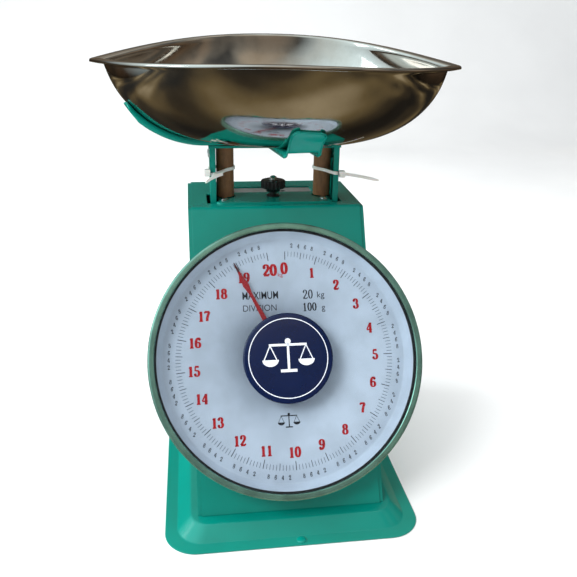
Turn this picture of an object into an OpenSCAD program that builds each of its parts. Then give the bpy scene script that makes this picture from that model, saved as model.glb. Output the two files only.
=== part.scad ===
// Mechanical dial platform scale, 20 kg, with a boat-shaped pan on a four-armed cradle.
// Millimetres, +Z up, front towards -Y, bench at Z = 0, X = 0 on the plane of symmetry of the case.

/* [Case] */
// Width of the base tray
base_w = 212; // [206:1:220]
// Depth of the base tray
base_d = 290; // [286:1:296]
// Height of the raised floor of the base tray
floor_z = 11.3; // [10:0.1:12]
// Height of the top of the case
top_z = 239.6; // [238:0.2:241]
// Half the width of the front and top cover sheet
cover_half = 75.6; // [74:0.1:76]
// Half the width over the side panels
case_half = 78.6; // [78.4:0.1:79]
// Lean of the front of the case and of the dial, in degrees from the vertical
lean = 29.2; // [29:0.1:29.4]
// Thickness of the case sheet
sheet = 1.2; // [1:0.1:1.4]

/* [Dial] */
// Radius of the flat printed face
face_r = 104; // [103:0.5:105]
// Outer radius of the bezel
bezel_r = 115.5; // [115:0.1:116]
// Radius of the round medallion on the glass
medallion_r = 37.7; // [30:0.1:40]
// Length of the pointer from the shaft to its tip
pointer_len = 93; // [88:1:98]
// Angle of the pointer at rest, in degrees anticlockwise of the top of the dial
pointer_rest = 26.35; // [20:0.05:30]

/* [Load frame] */
// Distance of each post's outer face from the middle
post_x = 58; // [57.5:0.1:58.5]
// Depth of each channel post
post_d = 32; // [30:1:33]
// Height of the underside of the platform bridge
bridge_z = 288.5; // [287:0.5:290]
// Travel of the load frame from raised to full load
travel = 18.467; // [18.4:0.001:18.5]

/* [Pan] */
// Length of the pan from tip to tip
pan_l = 320; // [316:1:324]
// Width of the pan across the lip
pan_w = 248; // [244:1:250]
// Height of the pan's two tips above its bottom
pan_h = 60.7; // [59.5:0.1:62]
// Rise of the rim between the tips
pan_arch = 12.5; // [10:0.5:14]
// Forward lean of the pan where it lies in its cradle, in degrees
pan_lean = 3.7; // [3:0.1:4]
// Turn of the cradle about its stud, in degrees
cradle_turn = 8; // [6:0.5:12]
// Turn of the pan in its cradle, in degrees
pan_turn = -5; // [-6:0.5:-3]
// Distance of the pan's middle from the middle of the case
pan_x = 2.8; // [2:0.1:2.8]

/* [Zero knob] */
// Radius of the zero knob over its ribs
knob_r = 11.4; // [11:0.1:11.6]
// Height of the underside of the zero knob
knob_z = 249; // [248.5:0.5:250]

/* [Hidden] */

green = [0.06, 0.55, 0.47];
steel = [0.66, 0.67, 0.69];
zinc = [0.72, 0.73, 0.72];
brass = [0.78, 0.62, 0.3];
fn = 96;

// Case
base_y = -11;
rear_y = 108;
top_front_y = 2.5;
base_r = 27;
rim_in = 11;
floor_in = 22;
bend_r = 4;
flange = 9;

// Dial: local Z points out of the face and local Y up along it
dial_y = -70.2;
dial_z = 125;
panel_depth = (top_front_y - (top_z - dial_z) * tan(lean) - dial_y) * cos(lean);
plate_rim_r = 110.2;
plate_rim_z = 11;
glass_r = 113.2;
glass_z = 13.1;
glass_t = 2.5;
shaft_r = 2;
clearance = 0.05;
front_plate_z = -17;
back_plate_z = -43;
rack_z = -30;
pinion_r = 3.2;
teeth = 16;
module_size = 2 * pinion_r / teeth;
rack_pin_down = 46.24;

// Load frame
post_y = 34;
post_bottom = 58;
post_t = 1.5;
post_lip = 5;
left_tube_x = -44;
right_tube_x = 46.2;
tube_y = 38;
tube_r = 8;
beam_z = 60;
beam_t = 3;
hanger_z = 205;
hanger_t = 4;
spring_x = 26;
spring_r = 8;
wire_r = 1.3;

// Guide levers
pivot_y = 92;
pin_y = 40;
lever_reach = pivot_y - pin_y;
lever_angle = atan(travel / 2 / lever_reach);
upper_pivot_z = 195;
lower_pivot_z = 75;
pin_r = 3;

// Pan and cradle
seat_z = 299;
cradle_z = 296.7;
pan_y = 33;
pan_t = 0.9;
lens_power = 2.7;
bottom_share = 0.46;
wall_end = 72;
spout_power = 5;
body_l = pan_l - 19;
body_w = pan_w - 8;
arm_w = 26.5;
arm_t = 1.5;
arm_gap = 1.4;
arm_flange = 4.4;

// Zero adjustment
screw_r = 3;

// ---------- shared shapes ----------

// Places children on the dial, origin at the centre of the printed face
module on_dial() {
    translate([0, dial_y, dial_z]) rotate([90 - lean, 0, 0]) children();
}

// Extrudes a side view, drawn with X as depth and Y as height, across the case from x0 to x1
module across(x0, x1) {
    translate([x0, 0, 0]) rotate([90, 0, 90]) linear_extrude(x1 - x0) children();
}

// Upright plate or rod along X
module rod_x(r, x0, x1) {
    translate([x0, 0, 0]) rotate([0, 90, 0]) cylinder(r = r, h = x1 - x0, $fn = fn);
}

module rounded_rect(w, d, r) {
    square([w - 2 * r, d], center = true);
    square([w, d - 2 * r], center = true);
    for (x = [-1, 1], y = [-1, 1])
        translate([x * (w / 2 - r), y * (d / 2 - r)]) circle(r = r, $fn = fn);
}

// Flat ring between two radii and two heights
module ring(r_in, r_out, z0, z1) {
    rotate_extrude($fn = fn)
        polygon([[r_in, z0], [r_out, z0], [r_out, z1], [r_in, z1]]);
}

// Screw with a low domed head on z = 0 and its shank below
module screw(head_r, shank_r, shank_l) {
    cap = head_r * 0.55;
    rotate_extrude($fn = fn)
        polygon(concat(
            [[0, -shank_l], [shank_r, -shank_l], [shank_r, 0], [head_r, 0]],
            [for (a = [0 : 15 : 90]) [head_r * cos(a), 0.3 + cap * sin(a)]]
        ));
}

// Arc of points that rounds corner b of the corner a-b-c
function rounded(a, b, c, r, n = 8) =
    let (
        u = (a - b) / norm(a - b),
        v = (c - b) / norm(c - b),
        half = acos(u * v) / 2,
        mid = (u + v) / norm(u + v),
        centre = b + mid * r / sin(half),
        p = b + u * r / tan(half) - centre,
        q = b + v * r / tan(half) - centre,
        sweep = 180 - 2 * half,
        turn = p.x * q.y - p.y * q.x > 0 ? 1 : -1
    )
    [for (i = [0 : n]) let (g = turn * sweep * i / n)
        centre + [p.x * cos(g) - p.y * sin(g), p.x * sin(g) + p.y * cos(g)]];

// ---------- case ----------

function front_y(z) = top_front_y - (top_z - z) * tan(lean);

// Side view of the case, drawn in by a distance from its front, top and rear
function wedge(inset) =
    let (
        slope_in = inset / cos(lean),
        a = [front_y(floor_z) + slope_in, floor_z],
        b = [front_y(top_z - inset) + slope_in, top_z - inset],
        c = [rear_y - inset, top_z - inset],
        d = [rear_y - inset, floor_z],
        r = bend_r - inset
    )
    concat([a], rounded(a, b, c, r), rounded(b, c, d, r), [d]);

module tray_slice(inset, z) {
    translate([0, base_y, z])
        linear_extrude(0.02) rounded_rect(base_w - 2 * inset, base_d - 2 * inset, base_r - inset * 0.55);
}

module at_panel_screws() {
    for (x = [-1, 1], y = [-85, 75]) translate([x * (cover_half - 4.5), y, 0]) children();
}

module base_tray() {
    step = sheet * 1.1;
    color(green) {
        translate([0, base_y, 0]) linear_extrude(sheet) difference() {
            rounded_rect(base_w, base_d, base_r);
            rounded_rect(base_w - 2 * rim_in, base_d - 2 * rim_in, base_r - rim_in * 0.55);
        }
        difference() {
            hull($fn = 32) {
                tray_slice(rim_in - 0.5, 0);
                tray_slice(rim_in - 0.5, sheet);
                tray_slice(floor_in, floor_z - 0.02);
            }
            hull($fn = 32) {
                tray_slice(rim_in + step - 0.5, -0.1);
                tray_slice(floor_in + step, floor_z - sheet);
            }
            at_panel_screws() cylinder(r = 2, h = 20, $fn = fn);
        }
        translate([4, base_y - base_d / 2 + rim_in / 2, sheet]) intersection() {
            translate([0, 0, -2]) sphere(r = 4, $fn = fn);
            cylinder(r = 4, h = 3, $fn = fn);
        }
    }
}

// Slots for a post and its transit tube, on the side that sign gives
module post_slot(sign) {
    gap = 1.8;
    d = post_d / 2 + gap;
    far = post_x + 3.3;
    near = post_x - post_lip - gap;
    translate([sign * (far + near) / 2, post_y, top_z]) cube([far - near, 2 * d, 20], center = true);
    translate([sign < 0 ? left_tube_x : right_tube_x, tube_y, top_z])
        cylinder(r = tube_r + 1.2, h = 20, center = true, $fn = fn);
}

module cover_sheet() {
    pad_w = 107;
    pad_front = 11;
    pad_rear = 50;
    pad_h = 1.6;
    color(green) difference() {
        union() {
            difference() {
                across(-cover_half, cover_half) polygon(wedge(0));
                across(-cover_half - 1, cover_half + 1) polygon(wedge(sheet));
                translate([-cover_half - 1, 0, floor_z - 1])
                    cube([2 * cover_half + 2, rear_y + 1, top_z - floor_z - flange]);
                translate([-cover_half - 1, front_y(floor_z) - 5, floor_z - 5])
                    cube([2 * cover_half + 2, rear_y - front_y(floor_z) + 10, 5]);
            }
            translate([0, (pad_front + pad_rear) / 2, top_z - 0.5])
                linear_extrude(pad_h + 0.5) rounded_rect(pad_w, pad_rear - pad_front, 8);
        }
        post_slot(-1);
        post_slot(1);
        translate([-36, pad_rear, top_z - 5]) cube([77, 29, 10]);
        translate([0, post_y, top_z - 5]) cylinder(r = screw_r + 1, h = 12, $fn = fn);
        for (x = [-46, 46]) translate([x, 22.8, top_z - 5]) cylinder(r = 1.8, h = 12, $fn = fn);
        on_dial() translate([0, 0, -panel_depth - 5]) cylinder(r = 9, h = 10, $fn = fn);
        on_dial() at_case_screws() translate([0, 0, -panel_depth - 5]) cylinder(r = 2.1, h = 10, $fn = fn);
    }
}

// Pressed side with flanges that lie under the cover sheet and on the tray floor
module side_panel(sign) {
    inner = case_half - sheet;
    lip = cover_half - flange;
    color(green) mirror([sign < 0 ? 1 : 0, 0, 0]) difference() {
        across(lip, case_half) polygon(wedge(sheet));
        difference() {
            across(lip - 1, inner) polygon(wedge(2 * sheet));
            translate([lip - 2, front_y(floor_z), floor_z])
                cube([inner - lip + 4, rear_y - front_y(floor_z), sheet]);
        }
        at_panel_screws() cylinder(r = 2, h = 20, $fn = fn);
        for (z = [40, 125, 215])
            translate([cover_half - 4.5, rear_y - 8, z]) rotate([-90, 0, 0]) cylinder(r = 1.6, h = 16, $fn = fn);
    }
}

module left_side_panel() { side_panel(-1); }

module right_side_panel() { side_panel(1); }

// Screws that hold the side panels to the floor of the tray, driven from inside
module case_screws() {
    color(zinc) at_panel_screws() translate([0, 0, floor_z + sheet]) screw(3.4, 1.95, 4.5);
}

module rear_cover() {
    color(green) difference() {
        translate([-cover_half, rear_y - sheet + 0.02, floor_z + 1])
            cube([2 * cover_half, sheet, top_z - floor_z - flange - 5]);
        for (x = [-1, 1], z = [40, 125, 215])
            translate([x * (cover_half - 4.5), rear_y - 8, z])
                rotate([-90, 0, 0]) cylinder(r = 1.6, h = 16, $fn = fn);
    }
}

module rear_cover_screws() {
    color(zinc) for (x = [-1, 1], z = [40, 125, 215])
        translate([x * (cover_half - 4.5), rear_y + 0.02, z]) rotate([-90, 0, 0]) screw(3.2, 1.55, 6);
}

module cover_screws() {
    color(steel) for (x = [-46, 46]) translate([x, 22.8, top_z + 1.6]) screw(3.8, 1.75, 6);
}

// Galvanised bracket under the top: carries the zero screw and shows through the rear opening
module top_bracket() {
    z = top_z - sheet - sheet;
    color(zinc) difference() {
        union() {
            translate([-34, 27, z]) cube([68, 24, sheet]);
            translate([-50, 18, z]) cube([100, 9.6, sheet]);
            translate([-36, 50, z]) cube([77, 33, sheet]);
            translate([-34, 27, z - 8]) cube([68, sheet, 8.5]);
            translate([-28, 82, z - 10]) cube([69, sheet, 10.5]);
        }
        translate([0, post_y, z - 5]) cylinder(r = screw_r + clearance, h = 12, $fn = fn);
        for (x = [-46, 46]) translate([x, 22.8, z - 5]) cylinder(r = 1.8, h = 12, $fn = fn);
        translate([14, 66, z - 5]) cylinder(r = 3, h = 12, $fn = fn);
    }
}

// Fixed bracket on the tray floor that holds the lever shafts
module lever_bracket() {
    half = 54;
    t = 2;
    back = rear_y - 6;
    color(zinc) difference() {
        union() {
            translate([-half, back - t, floor_z]) cube([2 * half, t, 200]);
            for (x = [-half, half - t]) translate([x, back - 20, floor_z]) cube([t, 20, 200]);
            translate([-half, back - 30, floor_z]) cube([2 * half, 30, t]);
        }
        for (z = [upper_pivot_z, lower_pivot_z])
            translate([0, pivot_y, z]) rod_x(pin_r + clearance, -half - 5, half + 5);
    }
}

// ---------- dial ----------

module at_case_screws() {
    for (a = [45 : 90 : 315]) rotate(a) translate([70, 0, 0]) children();
}

module dial_case() {
    t = 1;
    z = -panel_depth;
    wall = 112.2;
    color("white") on_dial() difference() {
        rotate_extrude($fn = fn) polygon([
            [9, z], [wall, z], [wall, plate_rim_z - 0.05],
            [wall - t, plate_rim_z - 0.05], [wall - t, z + t], [9, z + t]
        ]);
        at_case_screws() translate([0, 0, z - 1]) cylinder(r = 2.1, h = 4, $fn = fn);
    }
}

module dial_case_screws() {
    color(zinc) on_dial() at_case_screws() translate([0, 0, 1 - panel_depth]) screw(3.4, 2.05, 7);
}

// Face with a raised sloping rim, pressed from one sheet
module dial_plate() {
    t = 0.8;
    color("white") on_dial() difference() {
        rotate_extrude($fn = fn) polygon([
            [3.6, -t], [face_r + 0.4, -t], [plate_rim_r + 0.6, plate_rim_z],
            [glass_r, plate_rim_z], [glass_r, plate_rim_z + t], [plate_rim_r, plate_rim_z + t],
            [face_r, 0], [3.6, 0]
        ]);
        for (a = [0 : 120 : 240]) rotate(a) translate([26, 0, -3]) cylinder(r = 1.3, h = 6, $fn = fn);
    }
}

module dial_plate_screws() {
    color(zinc) on_dial() for (a = [0 : 120 : 240]) rotate(a) translate([26, 0, 0]) screw(2.4, 1.25, 6.5);
}

module gasket() {
    color([0.05, 0.05, 0.05]) on_dial() ring(108.4, glass_r, plate_rim_z + 0.8, glass_z);
}

module dial_glass() {
    color([0.8, 0.9, 0.95, 0.3]) on_dial() translate([0, 0, glass_z]) cylinder(r = glass_r, h = glass_t, $fn = fn);
}

module bezel() {
    wall_in = 113.6;
    lip_in = 109.6;
    front = glass_z + glass_t + 1.7;
    back = -3;
    group = 15;
    ribs = 5;
    pitch = 1.7;
    color([0.8, 0.8, 0.8]) on_dial() {
        rotate_extrude($fn = fn) polygon(concat(
            [[wall_in, back], [bezel_r - 0.3, back], [bezel_r - 0.3, front - 1.7]],
            [for (a = [0 : 15 : 90]) [bezel_r - 2 + 1.7 * cos(a), front - 1.7 + 1.7 * sin(a)]],
            [[lip_in + 1, front], [lip_in, front - 0.8], [lip_in, glass_z + glass_t + 0.1],
             [wall_in, glass_z + glass_t + 0.1]]
        ));
        for (g = [0 : group : 345], i = [0 : ribs - 1]) rotate(g + i * pitch)
            translate([bezel_r - 0.5, 0, back + 6]) cylinder(r = 0.5, h = 10, $fn = 16);
    }
}

module medallion() {
    color([0.04, 0.13, 0.33]) on_dial() translate([0, 0, glass_z + glass_t]) rotate_extrude($fn = fn)
        polygon([[0, 0], [medallion_r, 0], [medallion_r, 0.8], [medallion_r - 0.8, 1.4], [0, 2]]);
}

module plate_outline() {
    translate([2, 2]) rounded_rect(50, 66, 4);
}

module at_pillars() {
    for (x = [-18, 22], y = [-26, 30]) translate([x, y, 0]) children();
}

module movement_plate(z) {
    color(brass) on_dial() translate([0, 0, z]) difference() {
        linear_extrude(1.5) plate_outline();
        translate([0, 0, -1]) cylinder(r = shaft_r + clearance, h = 4, $fn = fn);
        at_pillars() translate([0, 0, -1]) cylinder(r = 1.6, h = 4, $fn = fn);
    }
}

module movement_front_plate() { movement_plate(front_plate_z); }

module movement_back_plate() { movement_plate(back_plate_z); }

// Pillars between the plates, and stand-offs between the front plate and the case
module movement_pillars() {
    inner_face = -panel_depth - sheet;
    color(steel) on_dial() at_pillars() {
        translate([0, 0, back_plate_z + 1.5]) cylinder(r = 3, h = front_plate_z - back_plate_z - 1.5, $fn = fn);
        translate([0, 0, front_plate_z + 1.5]) cylinder(r = 3, h = inner_face - front_plate_z - 1.5, $fn = fn);
        translate([0, 0, front_plate_z]) cylinder(r = 1.55, h = 1.5, $fn = fn);
    }
}

module movement_screws() {
    color(zinc) on_dial() at_pillars() translate([0, 0, back_plate_z]) rotate([180, 0, 0]) screw(2.8, 1.55, 1.5);
}

// Fixed shoe that keeps the rack against the pinion
module rack_guide() {
    color("white") on_dial() translate([rack_back_x() + 0.1, -8, back_plate_z + 1.5]) {
        cube([4, 16, rack_z - back_plate_z + 3.5]);
    }
}

module pointer() {
    z = 4.2;
    t = 0.8;
    color([0.7, 0.1, 0.1]) on_dial() rotate(pointer_rest) translate([0, 0, z]) linear_extrude(t) difference() {
        union() {
            circle(r = 7, $fn = fn);
            polygon([[-2.6, -26], [2.6, -26], [1.7, 0], [1.3, 58], [3.8, 71], [1.1, 80], [0.3, pointer_len],
                     [-0.3, pointer_len], [-1.1, 80], [-3.8, 71], [-1.3, 58], [-1.7, 0]]);
            translate([0, -28]) circle(r = 6, $fn = fn);
        }
        circle(r = 3, $fn = fn);
    }
}

module pointer_boss() {
    color(brass) on_dial() rotate_extrude($fn = fn) polygon([
        [shaft_r, 1.2], [3, 1.2], [3, 5], [4.6, 5], [4.6, 6.4], [shaft_r, 6.4]
    ]);
}

module pointer_shaft() {
    color(steel) on_dial() translate([0, 0, back_plate_z - 2]) cylinder(r = shaft_r, h = 48.4, $fn = fn);
}

// Outline of one gear tooth, pointing along +Y from the root circle
function tooth(root, tip, base_half, tip_half) =
    [[-base_half, root - 0.2], [base_half, root - 0.2], [tip_half, tip], [-tip_half, tip]];

module pinion() {
    root = pinion_r - 1.2 * module_size;
    tip = pinion_r + 0.9 * module_size;
    half = 0.46 * PI * module_size / 2;
    color(brass) on_dial() translate([0, 0, rack_z - 3]) linear_extrude(6) difference() {
        union() {
            circle(r = root, $fn = fn);
            for (i = [0 : teeth - 1]) rotate(-90 + 360 * i / teeth) polygon(tooth(root, tip, half * 1.7, half * 0.55));
        }
        circle(r = shaft_r, $fn = fn);
    }
}

function rack_back_x() = pinion_r + 9;

// Straight rack beside the pinion, with a shank down to its pin
module rack() {
    pitch = PI * module_size;
    root_x = pinion_r + 1.25 * module_size;
    tip_x = pinion_r - 0.85 * module_size;
    half = 0.44 * pitch / 2;
    color(steel) on_dial() translate([0, 0, rack_z - 1.5]) difference() {
        linear_extrude(3) union() {
            translate([root_x, -8]) square([rack_back_x() - root_x, 46]);
            for (i = [-4 : 20]) let (y = (i + 0.5) * pitch) polygon([
                [tip_x, y - half * 0.5], [root_x + 0.2, y - half * 1.6],
                [root_x + 0.2, y + half * 1.6], [tip_x, y + half * 0.5]
            ]);
            translate([root_x + 1, -rack_pin_down - 5]) square([rack_back_x() - root_x - 1, rack_pin_down]);
        }
        translate([0, -rack_pin_down, 1.5]) rod_x(1, 0, 30);
    }
}

module rack_pin() {
    root_x = pinion_r + 1.25 * module_size;
    color(steel) on_dial() translate([0, -rack_pin_down, rack_z]) {
        rod_x(1, root_x + 1, rack_back_x());
        rod_x(2, rack_back_x(), rack_back_x() + 6);
    }
}

// ---------- load frame ----------

module post(sign) {
    color(green) mirror([sign < 0 ? 1 : 0, 0, 0]) difference() {
        translate([post_x - post_lip, post_y - post_d / 2, post_bottom])
            cube([post_lip, post_d, bridge_z - post_bottom]);
        translate([post_x - post_lip - 1, post_y - post_d / 2 + post_t, post_bottom - 1])
            cube([post_lip + 1 - post_t, post_d - 2 * post_t, bridge_z - post_bottom + 2]);
        for (z = [upper_pivot_z, lower_pivot_z])
            translate([0, pin_y, z + travel / 2]) rod_x(2, post_x - 10, post_x + 5);
        for (y = [-8, 8], z = [bridge_z - 7, beam_z + 9])
            translate([0, post_y + y, z]) rod_x(1.5, post_x - 10, post_x + 5);
    }
}

module left_post() { post(-1); }

module right_post() { post(1); }

module platform_bridge() {
    t = 2;
    lip = 12;
    color(green) difference() {
        union() {
            translate([-post_x - 1, post_y - post_d / 2 - 1, bridge_z]) cube([2 * post_x + 2, post_d + 2, t]);
            for (x = [-1, 1]) translate([x * (post_x - post_t - 1), post_y, bridge_z - lip / 2 + 1])
                cube([2, post_d - 2 * post_t - 0.4, lip + 2], center = true);
        }
        translate([pan_x, pan_y, bridge_z - 5]) cylinder(r = 3, h = 12, $fn = fn);
        for (x = [-1, 1], y = [-8, 8]) translate([0, post_y + y, bridge_z - 7])
            rod_x(1.5, x < 0 ? -post_x - 3 : post_x - 9, x < 0 ? -post_x + 9 : post_x + 3);
    }
}

module bridge_screws() {
    color(zinc) for (x = [-1, 1], y = [-8, 8])
        translate([x * post_x, post_y + y, bridge_z - 7]) rotate([0, x * 90, 0]) screw(2.6, 1.45, 3.6);
}

// Beam across the feet of the posts: the springs pull up on it
module cross_beam() {
    half = post_x - post_t - 0.02;
    d = post_d - 2 * post_t - 0.4;
    color(zinc) difference() {
        union() {
            translate([-half, post_y - d / 2, beam_z]) cube([2 * half, d, beam_t]);
            for (x = [-half, half - 2]) translate([x, post_y - d / 2, beam_z]) cube([2, d, 14]);
        }
        for (x = [-spring_x, spring_x]) translate([x, post_y, beam_z - 1]) cylinder(r = 2.5, h = 6, $fn = fn);
        for (x = [-1, 1], y = [-8, 8]) translate([0, post_y + y, beam_z + 9])
            rod_x(1.5, x < 0 ? -post_x - 3 : post_x - 9, x < 0 ? -post_x + 9 : post_x + 3);
    }
}

module beam_rivets() {
    color(steel) for (x = [-1, 1], y = [-8, 8])
        translate([x * post_x, post_y + y, beam_z + 9]) rotate([0, x * 90, 0]) screw(2.6, 1.45, 4);
}

// Arm from the beam to the rack: its level slot lets the rack pin slide as the frame sinks
module rack_arm() {
    x0 = rack_back_x() + 1.5;
    t = 3;
    pin_at = dial_y - rack_z * cos(lean) - rack_pin_down * sin(lean);
    pin_z = dial_z + rack_z * sin(lean) - rack_pin_down * cos(lean);
    run = travel * tan(lean);
    color(zinc) difference() {
        union() {
            across(x0, x0 + t) polygon([
                [pin_at - run - 5.4, pin_z - 5], [post_y, beam_z - 6], [post_y, beam_z],
                [post_y - 15.5, beam_z], [post_y - 15.5, beam_z + 8], [pin_at + 6, pin_z + 5], [pin_at - run - 3, pin_z + 5]
            ]);
            translate([x0 - 10, post_y - 13, beam_z - 2]) cube([10 + t, 26, 2]);
        }
        across(x0 - 1, x0 + t + 1) {
            translate([pin_at - run - 1, pin_z - 2.15]) square([run + 2, 4.3]);
            for (y = [pin_at - run - 1, pin_at + 1]) translate([y, pin_z]) circle(r = 2.15, $fn = fn);
        }
    }
}

module lever_pins() {
    color(steel) for (x = [-1, 1], z = [upper_pivot_z, lower_pivot_z])
        translate([0, pin_y, z + travel / 2]) {
            rod_x(pin_r, x < 0 ? -64.5 : post_x, x < 0 ? -post_x : 64.5);
            rod_x(1.95, x < 0 ? -post_x : post_x - 3, x < 0 ? -post_x + 3 : post_x);
        }
}

module transit_tube(x) {
    wall = 1.8;
    foot = top_z + 2.2;
    color([0.5, 0.34, 0.2]) translate([x, tube_y, foot]) difference() {
        cylinder(r = tube_r, h = bridge_z - foot, $fn = fn);
        translate([0, 0, -1]) cylinder(r = tube_r - wall, h = bridge_z - foot + 2, $fn = fn);
    }
}

module left_transit_tube() { transit_tube(left_tube_x); }

module right_transit_tube() { transit_tube(right_tube_x); }

// Nylon strap round a tube and its post, with its locking head at the outer side
module cable_tie(tube, z) {
    band = 0.9;
    h = 3;
    inner = abs(tube) - tube_r - 0.2;
    outer = post_x + 0.2;
    front = post_y - post_d / 2 - 0.2;
    back = post_y + post_d / 2 + 0.2;
    color("white") mirror([tube < 0 ? 1 : 0, 0, 0]) translate([0, 0, z]) {
        linear_extrude(h) difference() {
            polygon([[inner - band, tube_y - 7], [post_x - 9, front - band], [outer + band, front - band],
                     [outer + band, back + band], [post_x - 9, back + band], [inner - band, tube_y + 7]]);
            polygon([[inner, tube_y - 7], [post_x - 8.7, front], [outer, front],
                     [outer, back], [post_x - 8.7, back], [inner, tube_y + 7]]);
        }
        translate([outer + band, front + 1, -1]) cube([4, 6, 5]);
    }
}

module left_cable_tie() { cable_tie(left_tube_x, 262.5); }

module right_cable_tie() { cable_tie(right_tube_x, 262); }

// ---------- pan and cradle ----------

// Places children in the frame of the seated pan
module seated() {
    translate([pan_x, pan_y, seat_z]) rotate([pan_lean, 0, 0]) rotate([0, 0, pan_turn]) children();
}

// Plan of a lens with pointed ends at angle g
function lens(l, w, g) =
    [l / 2 * cos(g), w / 2 * sign(sin(g)) * (1 - pow(abs(cos(g)), lens_power))];

function oval(l, w, g) = [l / 2 * cos(g), w / 2 * sin(g)];

function rim_z(g) = pan_h + pan_arch * (1 - pow(cos(g), 2));

// Share of the way out and up along the wall at section angle s, 0 at the bottom edge and wall_end at the rim
function wall_out(s) = sin(s) / sin(wall_end);
function wall_up(s) = (1 - cos(s)) / (1 - cos(wall_end));

// Point of the bowl at plan angle g: oval low down, drawn out to a spout at each end near the rim
function bowl(g, s, t) =
    let (
        l = body_l - 2 * t,
        w = body_w - 2 * t,
        k = pow(s / wall_end, spout_power),
        rim = oval(l, w, g) * (1 - k) + lens(l, w, g) * k,
        low = bottom_share * oval(body_l, body_w, g),
        p = low + (rim - low) * wall_out(s)
    )
    [p.x, p.y, t + (rim_z(g) - t) * wall_up(s)];

module pan() {
    step = 5;
    lip_t = 1.2;
    angles = [0 : step : 359];
    n = 360 / step;
    rows = concat(
        [for (s = [0 : 8 : wall_end]) [for (g = angles) bowl(g, s, pan_t)]],
        [[for (g = angles) let (p = lens(pan_l, pan_w, g)) [p.x, p.y, rim_z(g)]]],
        [[for (g = angles) let (p = lens(pan_l, pan_w, g)) [p.x, p.y, rim_z(g) - lip_t]]],
        [[for (g = angles) let (p = bowl(g, wall_end, 0)) [p.x, p.y, rim_z(g) - lip_t]]],
        [for (s = [wall_end - 8 : -8 : 0]) [for (g = angles) bowl(g, s, 0)]]
    );
    last = len(rows) - 1;
    function at(row, i) = row * n + (i % n);
    color(steel) seated() polyhedron(
        points = [for (row = rows) each row],
        faces = concat(
            [[for (i = [n - 1 : -1 : 0]) i]],
            [for (r = [0 : last - 1], i = [0 : n - 1]) [at(r, i), at(r + 1, i + 1), at(r + 1, i)]],
            [for (r = [0 : last - 1], i = [0 : n - 1]) [at(r, i), at(r, i + 1), at(r + 1, i + 1)]],
            [[for (i = [0 : n - 1]) at(last, i)]]
        )
    );
}

// Turns a point of a side view down by an angle
function dip(p, a) = [p.x * cos(a) + p.y * sin(a), p.y * cos(a) - p.x * sin(a)];

// Point off by a distance below an arm's stretch of the bowl, as [distance from the stud, height]
function arm_point(half_l, rim_h, tilt, s, off) =
    let (
        low = half_l * bottom_share,
        p = [low + (half_l - low) * wall_out(s), rim_h * wall_up(s)],
        d = [(half_l - low) * cos(s) / sin(wall_end), rim_h * sin(s) / (1 - cos(wall_end))],
        out = [d.y, -d.x] / norm(d)
    )
    dip(p, tilt) + [0, seat_z - cradle_z] + dip(out, tilt) * off;

function arm_curve(half_l, rim_h, tilt, end, off, start) =
    concat(
        [[start, -off], [arm_w, -off]],
        [for (i = [0 : 8]) arm_point(half_l, rim_h, tilt, end * i / 8, arm_gap + off)]
    );

module arm_section(half_l, rim_h, tilt, end, near, far, start) {
    inner = arm_curve(half_l, rim_h, tilt, end, near, start);
    outer = arm_curve(half_l, rim_h, tilt, end, far, start);
    polygon(concat(inner, [for (i = [len(outer) - 1 : -1 : 0]) outer[i]]));
}

// One arm of the cradle along +X: a web under the pan with a flange down each edge
module cradle_arm(half_l, rim_h, tilt, end) {
    rotate([90, 0, 0]) translate([0, 0, -arm_w / 2])
        linear_extrude(arm_w) arm_section(half_l, rim_h, tilt, end, 0, arm_t, 0);
    for (y = [-arm_w / 2, arm_w / 2 - arm_t]) rotate([90, 0, 0]) translate([0, 0, y])
        linear_extrude(arm_t) arm_section(half_l, rim_h, tilt, end, 0.5, arm_flange, arm_w / 2 - arm_t);
}

module pan_cradle() {
    long_end = 47.5;
    short_end = 38;
    side_h = pan_h + pan_arch;
    side_l = body_w / 2 + 4;
    dip_long = pan_lean * sin(cradle_turn);
    dip_short = pan_lean * cos(cradle_turn);
    color(green) translate([pan_x, pan_y, cradle_z]) rotate(cradle_turn) difference() {
        union() {
            cradle_arm(body_l / 2, pan_h, -dip_long, long_end);
            rotate(180) cradle_arm(body_l / 2, pan_h, dip_long, long_end);
            rotate(-90) cradle_arm(side_l, side_h, dip_short, short_end);
            rotate(90) cradle_arm(side_l, side_h, -dip_short, short_end);
        }
        translate([0, 0, -20]) cylinder(r = 3, h = 40, $fn = fn);
    }
}

// Stud with its nut under the bridge and a flat head under the pan
module cradle_stud() {
    color(steel) translate([pan_x, pan_y, 0]) {
        translate([0, 0, bridge_z - 2.6]) cylinder(r = 2.6, h = 9.2, $fn = fn);
        translate([0, 0, bridge_z - 2.2]) cylinder(r = 5, h = 2.2, $fn = 6);
    }
}

// ---------- springs and zero adjustment ----------

spring_low = beam_z + beam_t + 9;
spring_high = hanger_z - 9;
turns = 22;
per_turn = 16;
wire_sides = 6;

function ring_at(i, n) =
    let (
        a = 360 * i / per_turn,
        z = spring_low + (spring_high - spring_low) * i / n
    )
    [for (k = [0 : wire_sides - 1]) let (b = 360 * k / wire_sides, r = spring_r + wire_r * cos(b))
        [r * cos(a), r * sin(a), z + wire_r * sin(b)]];

module spring(x) {
    n = turns * per_turn;
    w = wire_sides;
    color(steel) translate([x, post_y, 0]) polyhedron(
        points = [for (i = [0 : n]) each ring_at(i, n)],
        faces = concat(
            [[for (k = [w - 1 : -1 : 0]) k]],
            [for (i = [0 : n - 1], k = [0 : w - 1]) [i * w + k, (i + 1) * w + (k + 1) % w, (i + 1) * w + k]],
            [for (i = [0 : n - 1], k = [0 : w - 1]) [i * w + k, i * w + (k + 1) % w, (i + 1) * w + (k + 1) % w]],
            [[for (k = [0 : w - 1]) n * w + k]]
        )
    );
}

module left_spring() { spring(-spring_x); }

module right_spring() { spring(spring_x); }

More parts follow.
